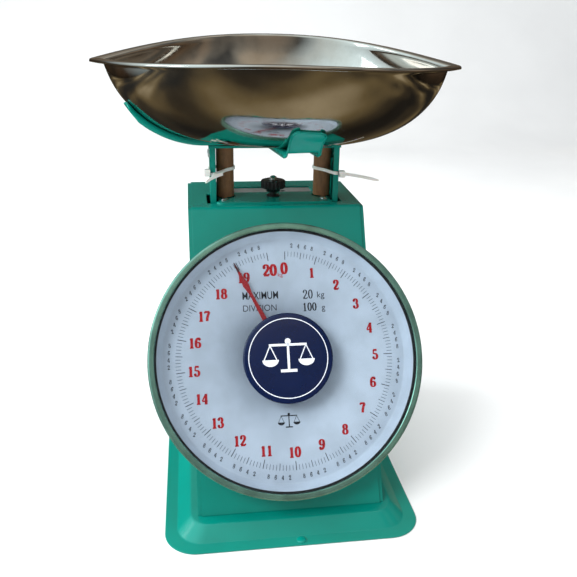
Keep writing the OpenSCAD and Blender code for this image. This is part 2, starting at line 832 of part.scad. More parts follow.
// Plug that screws into the end of a spring, with a stud through a plate on z = 0 and a nut under it
module spring_plug(plate_t) {
    plug_r = spring_r - wire_r - 0.2;
    gap = 0.02;
    nut = -plate_t - gap;
    rotate_extrude($fn = fn) polygon([
        [0, nut - 4], [4.5, nut - 4], [4.5, nut], [2.45, nut], [2.45, gap],
        [plug_r, gap], [plug_r, 16], [0, 16]
    ]);
}

module lower_spring_plugs() {
    color(brass) for (x = [-spring_x, spring_x]) translate([x, post_y, beam_z + beam_t]) spring_plug(beam_t);
}

module upper_spring_plugs() {
    color(brass) for (x = [-spring_x, spring_x])
        translate([x, post_y, hanger_z]) mirror([0, 0, 1]) spring_plug(hanger_t);
}

module spring_hanger() {
    color(zinc) difference() {
        union() {
            translate([-36, post_y - 9, hanger_z]) cube([72, 18, hanger_t]);
            translate([0, post_y, hanger_z]) cylinder(r = 7, h = 12, $fn = 6);
        }
        for (x = [-spring_x, spring_x]) translate([x, post_y, hanger_z - 1]) cylinder(r = 2.5, h = 6, $fn = fn);
        translate([0, post_y, hanger_z - 1]) cylinder(r = screw_r + clearance, h = 20, $fn = fn);
    }
}

// Screw turned by the knob: a collar on each side of the top bracket holds its height
module zero_screw() {
    bracket_z = top_z - 2 * sheet;
    color(steel) translate([0, post_y, 0]) {
        translate([0, 0, hanger_z - 12]) cylinder(r = screw_r, h = knob_z + 6 - hanger_z + 12, $fn = fn);
        translate([0, 0, bracket_z - 3.1]) cylinder(r = 5, h = 3, $fn = fn);
        translate([0, 0, top_z + 1.7]) cylinder(r = 6, h = 1.4, $fn = fn);
    }
}

module zero_knob() {
    h = 7.6;
    rib = 0.9;
    ribs = 18;
    color([0.05, 0.05, 0.05]) translate([0, post_y, knob_z]) difference() {
        union() {
            cylinder(r = knob_r - rib, h = h, $fn = fn);
            translate([0, 0, -3]) cylinder(r = 6.5, h = 4, $fn = fn);
            for (i = [0 : ribs - 1]) rotate(360 * i / ribs)
                translate([knob_r - 1.2, 0, 0.8]) cylinder(r = 1.2, h = h - 1.6, $fn = 24);
        }
        translate([0, 0, -4]) cylinder(r = screw_r, h = 10, $fn = fn);
    }
}

module knob_cap() {
    color(steel) translate([0, post_y, knob_z + 7.6]) rotate_extrude($fn = fn)
        polygon(concat([[0, 0], [4.6, 0], [4.6, 1]], [for (a = [0 : 15 : 90]) [3.6 * cos(a), 1 + 3 * sin(a)]]));
}

// ---------- guide levers ----------

// Flat arm from its shaft forwards to a slot on the load frame's pin, front end raised at rest
module lever_arm(x0, pivot_z) {
    reach = lever_reach / cos(lever_angle);
    slack = 0.25;
    r = 6.5;
    translate([0, pivot_y, pivot_z]) rotate([-lever_angle, 0, 0]) across(x0, x0 + 3) difference() {
        union() {
            translate([-reach, -r]) square([reach, 2 * r]);
            circle(r = r, $fn = fn);
            translate([-reach, 0]) circle(r = r, $fn = fn);
        }
        circle(r = pin_r, $fn = fn);
        for (y = [-reach - slack, -lever_reach + slack]) translate([y, 0]) circle(r = pin_r + 0.15, $fn = fn);
        translate([-reach - slack, -pin_r - 0.15]) square([reach - lever_reach + 2 * slack, 2 * pin_r + 0.3]);
    }
}

module lever_arms(pivot_z) {
    color(zinc) for (x = [-63.3, 60.3]) lever_arm(x, pivot_z);
}

module lever_shaft(pivot_z) {
    color(steel) translate([0, pivot_y, pivot_z]) rod_x(pin_r, -64.5, 64.5);
}

module upper_lever_arms() { lever_arms(upper_pivot_z); }

module lower_lever_arms() { lever_arms(lower_pivot_z); }

module upper_lever_shaft() { lever_shaft(upper_pivot_z); }

module lower_lever_shaft() { lever_shaft(lower_pivot_z); }

base_tray();
cover_sheet();
left_side_panel();
right_side_panel();
rear_cover();
case_screws();
rear_cover_screws();
cover_screws();
top_bracket();
lever_bracket();
dial_case();
dial_case_screws();
dial_plate();
dial_plate_screws();
gasket();
dial_glass();
bezel();
medallion();
movement_front_plate();
movement_back_plate();
movement_pillars();
movement_screws();
rack_guide();
pointer();
pointer_boss();
pointer_shaft();
pinion();
rack();
rack_pin();
left_post();
right_post();
platform_bridge();
bridge_screws();
cross_beam();
beam_rivets();
rack_arm();
lever_pins();
left_transit_tube();
right_transit_tube();
left_cable_tie();
right_cable_tie();
pan_cradle();
cradle_stud();
pan();
left_spring();
right_spring();
upper_spring_plugs();
lower_spring_plugs();
spring_hanger();
zero_screw();
zero_knob();
knob_cap();
upper_lever_arms();
upper_lever_shaft();
lower_lever_arms();
lower_lever_shaft();
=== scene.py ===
import math
import bpy
from mathutils import Matrix, Vector
from mathutils.bvhtree import BVHTree


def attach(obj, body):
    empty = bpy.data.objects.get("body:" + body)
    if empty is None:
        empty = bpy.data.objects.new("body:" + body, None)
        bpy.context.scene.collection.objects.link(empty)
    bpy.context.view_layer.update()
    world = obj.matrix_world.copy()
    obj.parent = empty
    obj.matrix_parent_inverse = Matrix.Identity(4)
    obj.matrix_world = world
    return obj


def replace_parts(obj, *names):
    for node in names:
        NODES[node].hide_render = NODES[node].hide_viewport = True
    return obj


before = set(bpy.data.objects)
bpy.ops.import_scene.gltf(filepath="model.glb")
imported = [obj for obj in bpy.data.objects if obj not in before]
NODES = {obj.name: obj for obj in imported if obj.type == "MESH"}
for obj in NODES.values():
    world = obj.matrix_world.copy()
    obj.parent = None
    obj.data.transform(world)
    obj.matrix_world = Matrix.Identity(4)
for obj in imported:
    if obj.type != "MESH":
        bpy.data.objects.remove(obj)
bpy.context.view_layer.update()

MM = 0.001
LEAN = 29.2
DIAL_CENTRE = (0, -70.2, 125)
POINTER_REST = 26.35
PAN_X, PAN_Y, SEAT_Z = 2.8, 33, 299
PAN_LEAN, PAN_TURN = 3.7, -5
POST_Y = 34


# ---------- geometry helpers, all in millimetres ----------

def piece(name, verts, faces, material, body, slot, smooth=True):
    mesh = bpy.data.meshes.new(name)
    mesh.from_pydata([(x * MM, y * MM, z * MM) for x, y, z in verts], [], faces)
    mesh.validate()
    mesh.materials.append(material)
    mesh.polygons.foreach_set("use_smooth", [smooth] * len(mesh.polygons))
    obj = bpy.data.objects.new(name, mesh)
    bpy.context.scene.collection.objects.link(obj)
    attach(obj, body)
    return obj


DIAL = Matrix.Translation(DIAL_CENTRE) @ Matrix.Rotation(math.radians(90 - LEAN), 4, "X")


def on_dial(points):
    return [tuple(DIAL @ Vector(p)) for p in points]


def grid_faces(rows, cols, closed_rows=False, closed_cols=True):
    faces = []
    for r in range(rows if closed_rows else rows - 1):
        for c in range(cols if closed_cols else cols - 1):
            r2, c2 = (r + 1) % rows, (c + 1) % cols
            faces.append((r * cols + c, r * cols + c2, r2 * cols + c2, r2 * cols + c))
    return faces


def lathe(profile, n=192, closed=True, swell=None):
    """Turns a profile of (radius, height) about Z; swell(angle, k) adds to the radius of profile point k."""
    verts = []
    for k, (r, z) in enumerate(profile):
        for i in range(n):
            a = 2 * math.pi * i / n
            rr = r + (swell(a, k) if swell else 0)
            verts.append((rr * math.cos(a), rr * math.sin(a), z))
    return verts, [f[::-1] for f in grid_faces(len(profile), n, closed, True)][::1]


def capped(profile, n=192, cap_first=True, cap_last=True, swell=None):
    verts, faces = lathe(profile, n, False, swell)
    if cap_first:
        faces.append(tuple(range(n)))
    if cap_last:
        last = (len(profile) - 1) * n
        faces.append(tuple(last + i for i in range(n))[::-1])
    return verts, faces


def fillet(a, b, c, r, n=6):
    """Points that round the corner b between a and c."""
    a, b, c = Vector(a), Vector(b), Vector(c)
    u, v = (a - b).normalized(), (c - b).normalized()
    half = u.angle(v) / 2
    d = r / math.tan(half)
    mid = (u + v).normalized()
    centre = b + mid * r / math.sin(half)
    p, q = b + u * d - centre, b + v * d - centre
    sweep = math.pi - 2 * half
    turn = 1 if p.x * q.y - p.y * q.x > 0 else -1
    out = []
    for i in range(n + 1):
        t = turn * sweep * i / n
        out.append((centre.x + p.x * math.cos(t) - p.y * math.sin(t), centre.y + p.x * math.sin(t) + p.y * math.cos(t)))
    return out


def smooth_profile(points, radii, n=5):
    out = [tuple(points[0])]
    for i in range(1, len(points) - 1):
        if radii[i] > 0:
            out += fillet(points[i - 1], points[i], points[i + 1], radii[i], n)
        else:
            out.append(tuple(points[i]))
    out.append(tuple(points[-1]))
    return out


def solidify(obj, t, offset=-1):
    m = obj.modifiers.new("Thickness", "SOLIDIFY")
    m.thickness = t * MM
    m.offset = offset
    return m


def bevel(obj, w, segments=2, angle=35):
    m = obj.modifiers.new("Edges", "BEVEL")
    m.width = w * MM
    m.segments = segments
    m.limit_method = "ANGLE"
    m.angle_limit = math.radians(angle)
    m.harden_normals = False
    return m


# ---------- materials ----------

def srgb(r, g, b):
    return tuple((v / 255 / 12.92) if v <= 10 else ((v / 255 + 0.055) / 1.055) ** 2.4 for v in (r, g, b)) + (1,)


class Mat:
    """A Principled material with noise-driven colour, roughness and bump."""

    def __init__(self, name, **inputs):
        self.m = bpy.data.materials.new(name)
        self.m.use_nodes = True
        self.t = self.m.node_tree
        self.bsdf = self.t.nodes["Principled BSDF"]
        for key, value in inputs.items():
            self.bsdf.inputs[key.replace("_", " ")].default_value = value
        self.coord = self.t.nodes.new("ShaderNodeTexCoord").outputs["Object"]
        self.normal = None

    def noise(self, scale, detail=3, rough=0.55, stretch=None):
        n = self.t.nodes.new("ShaderNodeTexNoise")
        n.inputs["Scale"].default_value = scale
        n.inputs["Detail"].default_value = detail
        n.inputs["Roughness"].default_value = rough
        source = self.coord
        if stretch:
            mp = self.t.nodes.new("ShaderNodeMapping")
            mp.inputs["Scale"].default_value = stretch
            self.t.links.new(source, mp.inputs["Vector"])
            source = mp.outputs["Vector"]
        self.t.links.new(source, n.inputs["Vector"])
        return n.outputs["Fac"]

    def ramp(self, fac, stops):
        r = self.t.nodes.new("ShaderNodeValToRGB")
        e = r.color_ramp.elements
        e[0].position, e[0].color = stops[0]
        e[1].position, e[1].color = stops[-1]
        for pos, col in stops[1:-1]:
            x = e.new(pos)
            x.color = col
        self.t.links.new(fac, r.inputs["Fac"])
        return r.outputs["Color"]

    def span(self, fac, a, b, lo=0.3, hi=0.7):
        m = self.t.nodes.new("ShaderNodeMapRange")
        m.inputs["From Min"].default_value = lo
        m.inputs["From Max"].default_value = hi
        m.inputs["To Min"].default_value = a
        m.inputs["To Max"].default_value = b
        self.t.links.new(fac, m.inputs["Value"])
        return m.outputs["Result"]

    def colour(self, socket):
        self.t.links.new(socket, self.bsdf.inputs["Base Color"])
        return self

    def rough(self, socket):
        self.t.links.new(socket, self.bsdf.inputs["Roughness"])
        return self

    def bump(self, socket, strength, distance):
        b = self.t.nodes.new("ShaderNodeBump")
        b.inputs["Strength"].default_value = strength
        b.inputs["Distance"].default_value = distance * MM
        self.t.links.new(socket, b.inputs["Height"])
        if self.normal:
            self.t.links.new(self.normal, b.inputs["Normal"])
        self.normal = b.outputs["Normal"]
        self.t.links.new(self.normal, self.bsdf.inputs["Normal"])
        return self

    def soft_edges(self, radius):
        b = self.t.nodes.new("ShaderNodeBevel")
        b.samples = 4
        b.inputs["Radius"].default_value = radius * MM
        self.normal = b.outputs["Normal"]
        self.t.links.new(self.normal, self.bsdf.inputs["Normal"])
        return self


def grey(v):
    return (v, v, v, 1)


def enamel(name, edges=0.0):
    x = Mat(name, Roughness=0.2, IOR=1.55)
    if edges:
        x.soft_edges(edges)
    base, deep, pale = srgb(0, 125, 111), srgb(0, 121, 107), srgb(0, 129, 114)
    x.colour(x.ramp(x.noise(22, 5, 0.6), [(0.3, deep), (0.52, base), (0.75, pale)]))
    x.rough(x.span(x.noise(160, 3), 0.17, 0.22))
    x.bump(x.noise(22, 2), 0.05, 0.5)
    return x.m


def metal(name, tone, rough, spread=0.06, grain=None, edges=0.0, dirt=0.12, bump=0.1, metallic=1.0):
    x = Mat(name, Metallic=metallic)
    if edges:
        x.soft_edges(edges)
    dark = tuple(v * (1 - dirt) for v in tone[:3]) + (1,)
    x.colour(x.ramp(x.noise(60, 5), [(0.3, dark), (0.6, tone)]))
    x.rough(x.span(x.noise(90, 4, 0.6, grain), rough - spread, rough + spread))
    x.bump(x.noise(700, 3, 0.6, grain), bump, 0.05)
    return x.m


def plastic(name, tone, rough, bump=0.1, edges=0.0, scale=500, **kw):
    x = Mat(name, **kw)
    if edges:
        x.soft_edges(edges)
    dark = tuple(v * 0.88 for v in tone[:3]) + (1,)
    x.colour(x.ramp(x.noise(45, 4), [(0.35, dark), (0.62, tone)]))
    x.rough(x.span(x.noise(120, 3), rough - 0.05, rough + 0.07))
    x.bump(x.noise(scale, 3), bump, 0.06)
    return x.m


def printed(name, tone, rough=0.45):
    x = Mat(name, Specular_IOR_Level=0.2)
    worn = tuple(min(1, v * 1.15 + 0.01) for v in tone[:3]) + (1,)
    x.colour(x.ramp(x.noise(900, 4, 0.7), [(0.42, tone), (0.8, worn)]))
    x.rough(x.span(x.noise(400, 3), rough - 0.08, rough + 0.08))
    x.bump(x.noise(1500, 2), 0.08, 0.02)
    return x.m


ENAMEL = enamel("enamel", 0.9)
ENAMEL_SMOOTH = enamel("enamel_pressed")
STEEL_DARK = metal("turned_steel", grey(0.55), 0.3, grain=(1, 1, 6), edges=0.3)
ZINC = metal("galvanised", grey(0.5), 0.38, 0.1, dirt=0.25, edges=0.4, metallic=0.6)
BLACKENED = metal("blackened_steel", grey(0.1), 0.42, dirt=0.2, edges=0.3)
BRASS = metal("turned_brass", srgb(196, 158, 84), 0.28, edges=0.3)
WIRE = metal("spring_wire", grey(0.35), 0.3, dirt=0.3)
# Chrome whose green-grey base colour is a painted reflection of the green enamel case around the bezel
CHROME_GREEN_REFLECTION = metal("chrome_painted_green_reflection", srgb(132, 180, 165), 0.15, 0.04, dirt=0.3, bump=0.05, metallic=0.78)
SCREW = metal("screw_steel", grey(0.8), 0.2, 0.06, dirt=0.15)
WHITE = plastic("dial_enamel", srgb(182, 199, 216), 0.34, 0.03)
RUBBER = plastic("gasket_rubber", grey(0.012), 0.6, 0.2)
NAVY = plastic("navy_gloss", srgb(5, 24, 62), 0.12, 0.02, Coat_Weight=0.3, Coat_Roughness=0.05)
BLACK = plastic("knob_moulding", grey(0.012), 0.32, 0.15, edges=0.3)
NYLON = plastic("natural_nylon", srgb(228, 228, 222), 0.4, 0.1, Subsurface_Weight=0.15, Subsurface_Scale=0.002)
RED_PAINT = plastic("pointer_paint", srgb(150, 14, 22), 0.35, 0.05)
DARK_PAINT = plastic("pointer_tip_paint", srgb(72, 30, 34), 0.4, 0.05)
RED_INK = printed("red_ink", srgb(166, 8, 14))
GREY_INK = printed("grey_ink", srgb(52, 54, 62))
BLACK_INK = printed("black_ink", srgb(30, 31, 36))
WHITE_INK = printed("white_ink", srgb(232, 236, 244), 0.3)


def cardboard(name, tone):
    x = Mat(name)
    w = x.t.nodes.new("ShaderNodeTexWave")
    w.inputs["Scale"].default_value = 38
    w.inputs["Distortion"].default_value = 0.6
    mp = x.t.nodes.new("ShaderNodeMapping")
    mp.inputs["Rotation"].default_value = (0.5, 0.9, 0)
    x.t.links.new(x.coord, mp.inputs["Vector"])
    x.t.links.new(mp.outputs["Vector"], w.inputs["Vector"])
    dark = tuple(v * 0.6 for v in tone[:3]) + (1,)
    x.colour(x.ramp(x.noise(300, 6, 0.7, (1, 1, 0.25)), [(0.3, dark), (0.65, tone)]))
    x.bump(w.outputs["Fac"], 0.25, 0.3)
    x.rough(x.span(x.noise(200, 3), 0.62, 0.85))
    x.bump(x.noise(1200, 4), 0.3, 0.1)
    return x.m


CARD = cardboard("paper_tube", srgb(134, 96, 62))


def mirror_steel():
    x = Mat("polished_steel", Metallic=1.0)
    x.colour(x.ramp(x.noise(35, 5), [(0.3, srgb(196, 190, 182)), (0.7, srgb(216, 213, 208))]))
    x.rough(x.span(x.noise(140, 4), 0.045, 0.13))
    x.bump(x.noise(30, 2, 0.5), 0.2, 0.6)
    x.bump(x.noise(900, 3, 0.6, (1, 1, 5)), 0.05, 0.03)
    return x.m


POLISHED = mirror_steel()


def clear_glass():
    x = Mat("clear_glass", Base_Color=srgb(70, 80, 92), Alpha=0.06, Specular_IOR_Level=1.0, IOR=1.52)
    x.rough(x.span(x.noise(120, 3), 0.02, 0.07))
    x.bump(x.noise(14, 2), 0.12, 0.4)
    return x.m


GLASS = clear_glass()

for node, material in {
    "cover_sheet": ENAMEL, "left_side_panel": ENAMEL, "right_side_panel": ENAMEL, "rear_cover": ENAMEL,
    "left_post": ENAMEL, "right_post": ENAMEL, "platform_bridge": ENAMEL,
    "case_screws": ZINC, "rear_cover_screws": SCREW, "cover_screws": SCREW,
    "top_bracket": ZINC, "lever_bracket": ZINC, "dial_case": WHITE, "dial_case_screws": ZINC,
    "dial_plate_screws": ZINC, "movement_front_plate": BRASS, "movement_back_plate": BRASS,
    "movement_pillars": STEEL_DARK, "movement_screws": ZINC, "rack_guide": NYLON,
    "pointer_boss": BRASS, "pointer_shaft": STEEL_DARK, "pinion": BRASS, "rack": STEEL_DARK, "rack_pin": STEEL_DARK,
    "bridge_screws": ZINC, "cross_beam": ZINC, "beam_rivets": ZINC, "rack_arm": ZINC, "lever_pins": STEEL_DARK,
    "left_transit_tube": CARD, "right_transit_tube": CARD, "cradle_stud": ZINC,
    "left_spring": WIRE, "right_spring": WIRE, "upper_spring_plugs": BRASS, "lower_spring_plugs": BRASS,
    "spring_hanger": ZINC, "zero_screw": BLACKENED, "knob_cap": SCREW,
    "upper_lever_arms": ZINC, "lower_lever_arms": ZINC, "upper_lever_shaft": STEEL_DARK,
    "lower_lever_shaft": STEEL_DARK,
}.items():
    mesh = NODES[node].data
    mesh.materials.clear()
    mesh.materials.append(material)


# ---------- base tray ----------

def rounded_rect(w, d, r, n=14):
    pts = []
    for cx, cy, a0 in ((1, -1, -90), (1, 1, 0), (-1, 1, 90), (-1, -1, 180)):
        for i in range(n + 1):
            a = math.radians(a0 + 90 * i / n)
            pts.append((cx * (w / 2 - r) + r * math.cos(a), cy * (d / 2 - r) + r * math.sin(a)))
    return pts


def build_tray():
    top = smooth_profile([(0.5, 0.0), (0.0, 0.7), (0.5, 1.3), (10.2, 1.3), (21.3, 11.3), (60, 11.3)],
                         [0, 0.4, 0.4, 2.2, 3.2, 0], 6)
    under = smooth_profile([(60, 10.1), (22.2, 10.1), (11.4, 0.0), (1, 0.0)], [0, 3.2, 2.0, 0], 6)
    verts, rows = [], top + under
    n = 60
    for inset, z in rows:
        r = max(27 - inset * 0.55, 3)
        verts += [(x, y - 11, z) for x, y in rounded_rect(212 - 2 * inset, 290 - 2 * inset, r)]
    faces = grid_faces(len(rows), n, True, True)
    a, b = (len(top) - 1) * n, len(top) * n
    faces = [f for f in faces if not (f[0] // n == len(top) - 1 and f[2] // n == len(top))]
    faces.append(tuple(a + i for i in range(n)))
    faces.append(tuple(b + i for i in range(n))[::-1])
    tray = piece("pressed_tray", verts, faces, ENAMEL_SMOOTH, "case", "green_enamel")
    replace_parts(tray, "base_tray")
    dome = [(4.2 * math.sin(math.radians(a)), 1.28 + 1.6 * math.cos(math.radians(a))) for a in range(0, 91, 10)]
    dome[0] = (0.05, dome[0][1])
    v, f = capped(dome, 40)
    piece("tray_dimple", [(x + 4, y - 150.2, z) for x, y, z in v], f, ENAMEL_SMOOTH, "case", "green_enamel")


build_tray()


# ---------- dial ----------

def dial_piece(name, verts, faces, material, slot, body="case", **kw):
    return piece(name, on_dial(verts), faces, material, body, slot, **kw)


def build_dial():
    rim = smooth_profile([(3.6, 0), (104, 0), (110.2, 11.8), (113.1, 11.8)], [0, 2.4, 0.8, 0], 8)
    back = smooth_profile([(113.1, 11.0), (110.8, 11.0), (104.4, -0.8), (3.6, -0.8)], [0, 0.5, 1.6, 0], 4)
    v, f = lathe(rim + back, 256)
    plate = dial_piece("printed_face", v, f, WHITE, "dial_white")
    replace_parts(plate, "dial_plate")

    v, f = lathe(smooth_profile([(113.1, 11.85), (108.3, 11.85), (108.0, 12.4), (108.3, 13.05), (113.1, 13.05)],
                                [0, 0.3, 0.4, 0.3, 0], 3), 256)
    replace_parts(dial_piece("black_gasket", v, f, RUBBER, "black_rubber"), "gasket")

    v, f = capped([(112.6, 13.15), (113.1, 13.6), (113.1, 15.1), (112.6, 15.55)], 256)
    glass = dial_piece("flat_glass", v, f, GLASS, "clear_glass", smooth=False)
    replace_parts(glass, "dial_glass")

    outer = smooth_profile([(113.6, 15.7), (113.6, -3), (115.1, -3), (115.1, 1.5), (115.1, 12.5), (115.1, 17.3),
                            (110.2, 17.3), (109.6, 16.6), (109.6, 15.7)],
                           [0, 0.3, 0.6, 0, 0, 1.9, 0.5, 0.3, 0], 6)
    dense = []
    for i, (r, z) in enumerate(outer):
        dense.append((r, z))
        if i + 1 < len(outer):
            r2, z2 = outer[i + 1]
            if abs(z2 - z) > 4:
                k = 8
                dense += [(r + (r2 - r) * j / k, z + (z2 - z) * j / k) for j in range(1, k)]

    def ribs(a, k):
        r, z = dense[k]
        if r < 114.9 or z < 1.0 or z > 15.2:
            return 0
        fade = min(1, (z - 1.0) / 1.5, (15.2 - z) / 1.5)
        g = math.degrees(a) % 15
        if g > 8.5:
            return 0
        return 0.4 * max(0, fade) * math.sin(math.pi * (g % 1.7) / 1.7) ** 2

    v, f = lathe(dense, 1800, True, ribs)
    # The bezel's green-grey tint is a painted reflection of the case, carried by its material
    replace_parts(dial_piece("ribbed_bezel", v, f, CHROME_GREEN_REFLECTION, "chrome"), "bezel")

    r = 37.7
    v, f = capped([(r - 0.2, 15.62), (r, 15.9), (r - 0.05, 16.4), (r - 0.5, 16.9), (r - 1.6, 17.15), (r * 0.7, 17.35),
                   (r * 0.35, 17.5), (2, 17.55)], 160)
    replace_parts(dial_piece("round_badge", v, f, NAVY, "navy_disc"), "medallion")


build_dial()


# Strokes with a broad-pen contrast: thick where they run up and down, thin where they run across
def stroke(points, thick, thin, closed=False):
    n = len(points)
    verts = []
    for i, (x, y) in enumerate(points):
        a = points[i - 1] if (i > 0 or closed) else points[i]
        b = points[(i + 1) % n] if (i < n - 1 or closed) else points[i]
        dx, dy = b[0] - a[0], b[1] - a[1]
        length = math.hypot(dx, dy) or 1
        half = (thin + (thick - thin) * (abs(dy) / length) ** 1.5) / 2
        verts += [(x - dy / length * half, y + dx / length * half), (x + dy / length * half, y - dx / length * half)]
    faces = []
    for i in range(n if closed else n - 1):
        j = (i + 1) % n
        faces.append((2 * i, 2 * i + 1, 2 * j + 1, 2 * j))
    return verts, faces


def oval(cx, cy, rx, ry, a0=0, a1=360, n=20):
    return [(cx + rx * math.cos(math.radians(a0 + (a1 - a0) * i / n)),
             cy + ry * math.sin(math.radians(a0 + (a1 - a0) * i / n))) for i in range(n + 1)]


def digit(ch):
    """Strokes of a numeral in a box 0.54 wide and 1 high, as (points, closed, kind)."""
    ring = oval(0.27, 0.5, 0.185, 0.455)[:-1]
    six = [(oval(0.27, 0.29, 0.18, 0.25)[:-1], True, "c"),
           (oval(0.33, 0.42, 0.24, 0.53, 62, 190, 14), False, "c"), (oval(0.42, 0.82, 0.03, 0.04)[:-1], True, "b")]
    return {
        "0": [(ring, True, "c")],
        "1": [([(0.27, 0.04), (0.27, 0.96)], False, "c"), ([(0.27, 0.92), (0.2, 0.84), (0.11, 0.8)], False, "s"),
              ([(0.1, 0.03), (0.44, 0.03)], False, "s")],
        "2": [(oval(0.26, 0.71, 0.17, 0.245, 165, -25, 14) + [(0.3, 0.4), (0.16, 0.2), (0.07, 0.08)], False, "c"),
              ([(0.06, 0.07), (0.47, 0.07)], False, "b"), ([(0.47, 0.07), (0.49, 0.22)], False, "s"),
              (oval(0.11, 0.73, 0.03, 0.04)[:-1], True, "b")],
        "3": [(oval(0.25, 0.735, 0.15, 0.225, 155, -90, 14), False, "c"),
              (oval(0.25, 0.28, 0.185, 0.245, 90, -155, 16), False, "c"),
              (oval(0.11, 0.8, 0.03, 0.04)[:-1], True, "b"), (oval(0.1, 0.2, 0.03, 0.04)[:-1], True, "b")],
        "4": [([(0.35, 0.95), (0.04, 0.3)], False, "s"), ([(0.03, 0.28), (0.52, 0.28)], False, "s"),
              ([(0.37, 0.97), (0.37, 0.04)], False, "c"), ([(0.24, 0.03), (0.5, 0.03)], False, "s")],
        "5": [([(0.11, 0.92), (0.44, 0.92)], False, "b"), ([(0.12, 0.94), (0.1, 0.52)], False, "s"),
              (oval(0.25, 0.3, 0.19, 0.27, 128, -150, 18), False, "c"), (oval(0.1, 0.18, 0.03, 0.04)[:-1], True, "b")],
        "6": six,
        "7": [([(0.05, 0.91), (0.48, 0.91)], False, "b"), ([(0.05, 0.94), (0.05, 0.76)], False, "s"),
              ([(0.47, 0.9), (0.34, 0.6), (0.26, 0.3), (0.24, 0.02)], False, "c")],
        "8": [(oval(0.27, 0.735, 0.15, 0.215)[:-1], True, "c"), (oval(0.27, 0.275, 0.185, 0.235)[:-1], True, "c")],
        "9": [([(0.54 - x, 1 - y) for x, y in pts], c, k) for pts, c, k in six],
    }[ch]


class Print:
    """Collects flat printed shapes on the dial and turns them into one mesh."""

    def __init__(self):
        self.v, self.f = [], []

    def add(self, verts, faces, place, z):
        k = len(self.v)
        self.v += [(place[0] + x, place[1] + y, z) for x, y in verts]
        self.f += [tuple(k + i for i in f) for f in faces]

    def number(self, text, cx, cy, size, z=0.06, thick=0.15, thin=0.05, turn=0.0, squeeze=1.0):
        pitch = 0.56 * size * squeeze
        width = pitch * len(text)
        ca, sa = math.cos(turn), math.sin(turn)
        for i, ch in enumerate(text):
            for pts, closed, kind in digit(ch):
                tk, tn = {"c": (thick, thin), "s": (thin * 1.2, thin * 1.2), "b": (thin * 1.8, thin * 1.8)}[kind]
                v, f = stroke([(x * size * squeeze, y * size) for x, y in pts], tk * size, tn * size, closed)
                moved = []
                for x, y in v:
                    x, y = x - width / 2 + i * pitch, y - size / 2
                    moved.append((x * ca - y * sa, x * sa + y * ca))
                self.add(moved, f, (cx, cy), z)

    def line(self, a, b, w, z=0.06):
        dx, dy = b[0] - a[0], b[1] - a[1]
        n = math.hypot(dx, dy)
        ox, oy = -dy / n * w / 2, dx / n * w / 2
        self.add([(a[0] + ox, a[1] + oy), (a[0] - ox, a[1] - oy), (b[0] - ox, b[1] - oy), (b[0] + ox, b[1] + oy)],
                 [(0, 1, 2, 3)], (0, 0), z)

    def make(self, name, material, slot="dial_white"):
        return dial_piece(name, self.v, self.f, material, slot, smooth=False)


STEP = 17.51
ZERO = 2.29


def at(kg, r):
    a = math.radians(ZERO + STEP * kg)
    return r * math.sin(a), r * math.cos(a)


def text_mesh(name, body, size, x, y, z, material, align="LEFT", squeeze=1.0, extra=0.0):
    curve = bpy.data.curves.new(name, "FONT")
    curve.body = body
    curve.size = size
    curve.align_x = align
    curve.offset = extra
    obj = bpy.data.objects.new(name, curve)
    bpy.context.scene.collection.objects.link(obj)
    bpy.context.view_layer.update()
    mesh = bpy.data.meshes.new_from_object(obj.evaluated_get(bpy.context.evaluated_depsgraph_get()))
    verts = [(x + v.co.x * squeeze, y + v.co.y, z) for v in mesh.vertices]
    faces = [tuple(p.vertices) for p in mesh.polygons]
    bpy.data.objects.remove(obj)
    return dial_piece(name, verts, faces, material, "dial_white", smooth=False)


def build_print():
    marks, numerals = Print(), Print()
    for k in range(0, 201):
        kg = k / 10
        if k % 10 == 0:
            marks.line(at(kg, 85.6), at(kg, 93), 0.62)
        elif k % 5 == 0:
            marks.line(at(kg, 87.2), at(kg, 93), 0.5)
        else:
            marks.line(at(kg, 88.6), at(kg, 93), 0.36)
        if k % 10 in (2, 4, 6, 8):
            x, y = at(kg, 98.6)
            a = math.radians(ZERO + STEP * kg)
            marks.number(str(k % 10), x, y, 3.7, thick=0.15, thin=0.11, turn=-0.35 * math.sin(2 * a))
    for kg in range(0, 21):
        r = 78.2 if kg < 20 else 77.5
        x, y = at(kg, r)
        if kg == 0:
            x -= 0.7
        size = 10.3 if kg in (0, 20) else 8.8
        numerals.number(str(kg), x, y, size, thick=0.26, thin=0.11, squeeze=1.06)
    numerals.make("red_numerals", RED_INK)
    marks.make("scale_marks", GREY_INK)
    text_mesh("unit_mark", "kg", 5.0, -3.6, 71.0, 0.06, RED_INK)
    text_mesh("range_words", "MAXIMUM", 9.4, -35.2, 51.9, 0.06, BLACK_INK, squeeze=0.72, extra=0.07)
    text_mesh("step_words", "DIVISION", 7.8, -35.2, 41.6, 0.06, GREY_INK, squeeze=0.92)
    text_mesh("range_unit", "kg", 7.6, 29.6, 51.6, 0.06, BLACK_INK)
    text_mesh("step_unit", "g", 7.6, 33.4, 40.6, 0.06, GREY_INK)
    values = Print()
    values.number("20", 22.0, 54.8, 8.2, thick=0.13, thin=0.06)
    values.number("100", 23.0, 43.8, 7.4, thick=0.16, thin=0.06)
    values.make("range_values", BLACK_INK)


build_print()


